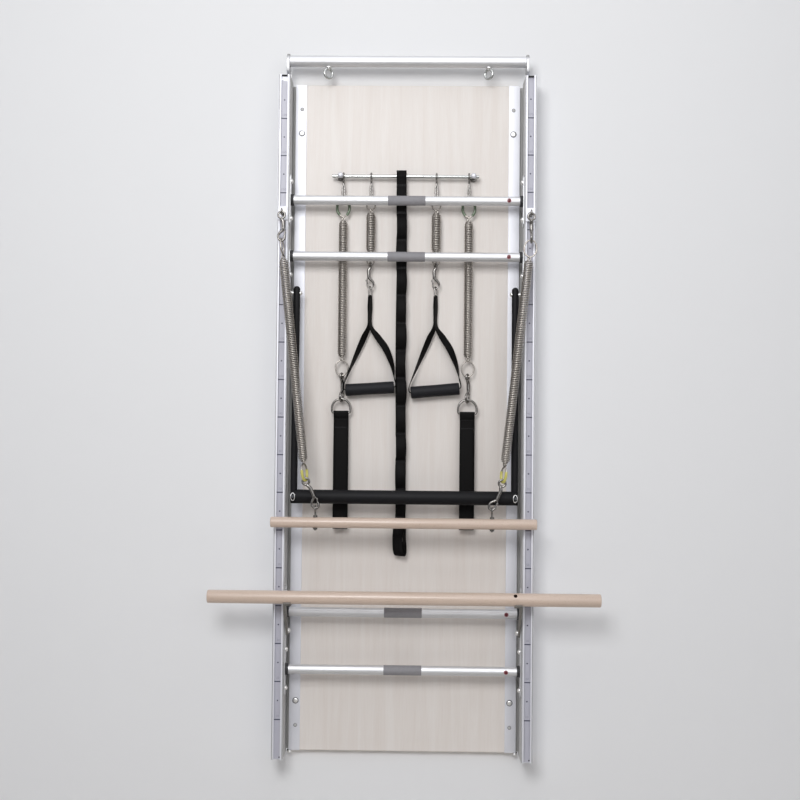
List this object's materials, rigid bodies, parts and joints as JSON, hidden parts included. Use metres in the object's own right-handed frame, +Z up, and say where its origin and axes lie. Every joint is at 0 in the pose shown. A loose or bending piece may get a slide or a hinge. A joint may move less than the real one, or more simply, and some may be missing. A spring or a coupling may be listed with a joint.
{
  "type": "pilates wall board",
  "caption": "Tall wall-mounted exercise board with slotted rails, tube cross bars, a hinged push bar, a spring-hung roll-down bar, strap handles and a loose long bar.",
  "frame": {"origin": "centre of the back panel's rear face, in the plane of the wall", "axes": "+Z up along the board's length, +X to the right of someone who faces the board, -Y out of the wall towards that person"},
  "size_m": [1.025, 0.1562, 1.8873],
  "materials": {
    "plywood": "satin lacquered birch plywood",
    "anodised_aluminium": "satin anodised",
    "polished_aluminium": "bright polished",
    "nickel_plated_steel": "bright nickel plating",
    "spring_steel": "drawn spring wire",
    "beech": "oiled beech",
    "black_rubber_sleeve": "matt black sleeve",
    "black_webbing": "woven black webbing",
    "black_foam": "matt black foam",
    "red_plastic": "moulded"
  },
  "bodies": {
    "board": {"back_panel": "plywood", "edge_profile_left": "anodised_aluminium", "edge_profile_right": "anodised_aluminium", "rail_left": "anodised_aluminium", "rail_right": "anodised_aluminium", "top_upright_left": "polished_aluminium", "top_upright_right": "polished_aluminium", "top_bar": "polished_aluminium", "hole_plate_top_left": "polished_aluminium", "hole_plate_top_right": "polished_aluminium", "hole_plate_pivot_left": "polished_aluminium", "hole_plate_pivot_right": "polished_aluminium", "hole_plate_low_left": "polished_aluminium", "hole_plate_low_right": "polished_aluminium", "cross_bar_1": "polished_aluminium", "cross_bar_2": "polished_aluminium", "cross_bar_3": "polished_aluminium", "cross_bar_4": "polished_aluminium", "hanger_rod": "nickel_plated_steel", "loop_strap": "black_webbing", "arm_rod_snap_left": "nickel_plated_steel", "arm_rod_snap_right": "nickel_plated_steel", "arm_spring_left": "spring_steel", "arm_spring_right": "spring_steel", "handle_snap_left": "nickel_plated_steel", "handle_snap_right": "nickel_plated_steel", "bar_cradle_left": "anodised_aluminium", "bar_cradle_right": "anodised_aluminium"},
    "push_bar": {"push_through_bar": "black_rubber_sleeve"},
    "left_carriage": {"carriage_left": "anodised_aluminium"},
    "right_carriage": {"carriage_right": "anodised_aluminium"},
    "roll_down": {"side_top_snap_left": "nickel_plated_steel", "side_top_snap_right": "nickel_plated_steel", "side_spring_left": "spring_steel", "side_spring_right": "spring_steel", "bar_snap_left": "nickel_plated_steel", "bar_snap_right": "nickel_plated_steel", "bar_eye_bolt_left": "nickel_plated_steel", "bar_eye_bolt_right": "nickel_plated_steel", "roll_down_bar": "beech"},
    "loose_bar": {"long_bar": "beech"},
    "button_1": {"release_button_1": "red_plastic"},
    "button_2": {"release_button_2": "red_plastic"},
    "button_3": {"release_button_3": "red_plastic"},
    "button_4": {"release_button_4": "red_plastic"},
    "handle_left": {"handle_strap_left": "black_webbing", "handle_grip_left": "black_foam"},
    "handle_right": {"handle_strap_right": "black_webbing", "handle_grip_right": "black_foam"},
    "leg_left": {"leg_rod_snap_left": "nickel_plated_steel", "leg_spring_left": "spring_steel", "leg_foot_snap_left": "nickel_plated_steel", "foot_ring_left": "nickel_plated_steel", "foot_strap_left": "black_webbing"},
    "leg_right": {"leg_rod_snap_right": "nickel_plated_steel", "leg_spring_right": "spring_steel", "leg_foot_snap_right": "nickel_plated_steel", "foot_ring_right": "nickel_plated_steel", "foot_strap_right": "black_webbing"}
  },
  "joints": [
    {"name": "carriage_left_slide", "type": "slide", "parent": "board", "child": "left_carriage", "axis": [0, 0, 1], "range_m": [-0.1, 0.3]},
    {"name": "carriage_right_slide", "type": "slide", "parent": "board", "child": "right_carriage", "axis": [0, 0, 1], "range_m": [-0.1, 0.3]},
    {"name": "push_bar_swing", "type": "hinge", "parent": "board", "child": "push_bar", "pos_m": [0, -0.07, 0.3265], "axis": [-1, 0, 0], "range_deg": [0, 85]},
    {"name": "roll_down_swing", "type": "hinge", "parent": "left_carriage", "child": "roll_down", "pos_m": [0, -0.1255, 0.537], "axis": [-1, 0, 0], "range_deg": [0, 85]},
    {"name": "long_bar_lift", "type": "slide", "parent": "board", "child": "loose_bar", "axis": [0, 0, 1], "range_m": [0, 0.04]},
    {"name": "handle_left_swing", "type": "hinge", "parent": "board", "child": "handle_left", "pos_m": [-0.097, -0.04, 0.3445], "axis": [-1, 0, 0], "range_deg": [0, 80]},
    {"name": "handle_right_swing", "type": "hinge", "parent": "board", "child": "handle_right", "pos_m": [0.08, -0.04, 0.3445], "axis": [-1, 0, 0], "range_deg": [0, 80]},
    {"name": "leg_left_swing", "type": "hinge", "parent": "board", "child": "leg_left", "pos_m": [-0.172, -0.04, 0.649], "axis": [0, 1, 0], "range_deg": [0, 6]},
    {"name": "leg_right_swing", "type": "hinge", "parent": "board", "child": "leg_right", "pos_m": [0.168, -0.04, 0.649], "axis": [0, -1, 0], "range_deg": [0, 6]},
    {"name": "button_1_press", "type": "slide", "parent": "board", "child": "button_1", "axis": [0, 1, 0], "range_m": [0, 0.0022], "stiffness_N_per_m": 400, "springref_m": -0.003},
    {"name": "button_2_press", "type": "slide", "parent": "board", "child": "button_2", "axis": [0, 1, 0], "range_m": [0, 0.0022], "stiffness_N_per_m": 400, "springref_m": -0.003},
    {"name": "button_3_press", "type": "slide", "parent": "board", "child": "button_3", "axis": [0, 1, 0], "range_m": [0, 0.0022], "stiffness_N_per_m": 400, "springref_m": -0.003},
    {"name": "button_4_press", "type": "slide", "parent": "board", "child": "button_4", "axis": [0, 1, 0], "range_m": [0, 0.0022], "stiffness_N_per_m": 400, "springref_m": -0.003}
  ],
  "couplings": [
    {"joint": "carriage_right_slide", "follows": "carriage_left_slide", "ratio": 1},
    {"joint": "roll_down_swing", "follows": "push_bar_swing", "ratio": 1}
  ]
}
